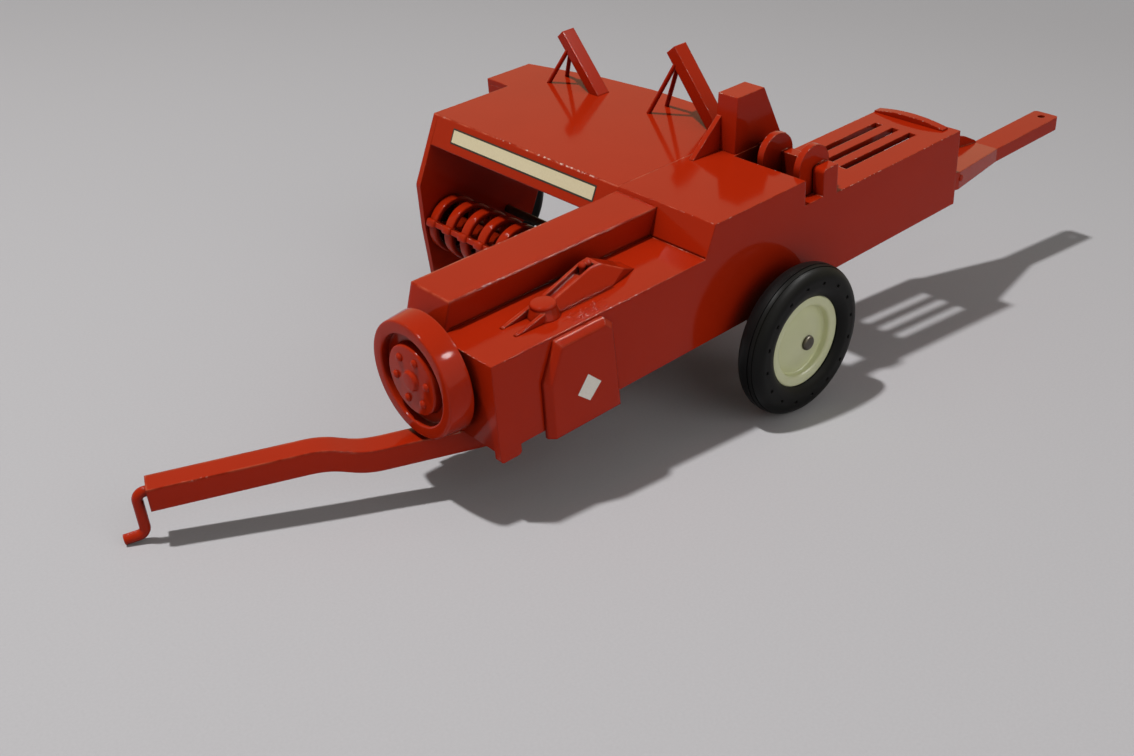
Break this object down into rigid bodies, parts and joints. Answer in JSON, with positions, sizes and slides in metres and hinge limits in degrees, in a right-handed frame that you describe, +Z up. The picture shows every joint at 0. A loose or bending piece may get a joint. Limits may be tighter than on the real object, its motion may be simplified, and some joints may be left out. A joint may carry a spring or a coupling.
{
  "type": "toy pickup baler",
  "caption": "Towed pickup baler toy: long bale case, side header with pickup reel, flywheel, swinging drawbar with hook, folding chute, two wheels.",
  "frame": {"origin": "middle of the parked toy's bounding box, on the floor under the tyres and the hitch hook", "axes": "+X forward along the bale case towards the hitch, +Y to the left, +Z up"},
  "size_m": [0.3642, 0.1598, 0.0968],
  "materials": {
    "enamel": "glossy enamel",
    "tyre": "satin moulded rubber",
    "wheel_disc": "moulded",
    "axle_steel": "dull"
  },
  "bodies": {
    "case": {"bale_case": "enamel", "twine_box": "enamel", "side_cover": "enamel", "plunger_arm": "enamel", "arm_rivets": "enamel", "flywheel_shaft": "enamel", "header_roof": "enamel", "header_band": "enamel", "outer_plate": "enamel", "inner_plate": "enamel", "header_wing": "enamel", "reel_shaft": "enamel", "feeder_posts": "enamel", "post_stays": "enamel", "knotter_tower": "enamel", "tower_gusset": "enamel", "knotters": "enamel", "tension_arch": "enamel", "axle": "axle_steel", "axle_lugs": "enamel", "drawbar_rivet": "enamel", "chute_pins": "enamel"},
    "flywheel_body": {"flywheel": "enamel", "flywheel_studs": "enamel"},
    "pickup_body": {"reel_tube": "enamel", "reel_rings": "enamel", "tine_bars": "enamel"},
    "left_wheel": {"left_tyre": "tyre", "left_rim": "wheel_disc"},
    "right_wheel": {"right_tyre": "tyre", "right_rim": "wheel_disc"},
    "drawbar_body": {"drawbar": "enamel", "hitch_hook": "enamel"},
    "chute_body": {"bale_chute": "enamel"}
  },
  "joints": [
    {"name": "flywheel_turn", "type": "hinge", "parent": "case", "child": "flywheel_body", "pos_m": [0.10783, 0.04225, 0.03936], "axis": [0.9956, 0, -0.0941], "continuous": true},
    {"name": "pickup_turn", "type": "hinge", "parent": "case", "child": "pickup_body", "pos_m": [0.01741, -0.02095, 0.02641], "axis": [0, 1, 0], "continuous": true},
    {"name": "left_wheel_turn", "type": "hinge", "parent": "case", "child": "left_wheel", "pos_m": [-0.00909, 0.0751, 0.0244], "axis": [0, 1, 0], "continuous": true},
    {"name": "right_wheel_turn", "type": "hinge", "parent": "case", "child": "right_wheel", "pos_m": [-0.00909, -0.0751, 0.0244], "axis": [0, 1, 0], "continuous": true},
    {"name": "drawbar_swing", "type": "hinge", "parent": "case", "child": "drawbar_body", "pos_m": [0.08543, 0.04965, 0.01908], "axis": [0.0941, 0, 0.9956], "range_deg": [-10, 52]},
    {"name": "chute_fold", "type": "hinge", "parent": "case", "child": "chute_body", "pos_m": [-0.0936, 0.04965, 0.05057], "axis": [0, 1, 0], "range_deg": [-8, 60]}
  ]
}
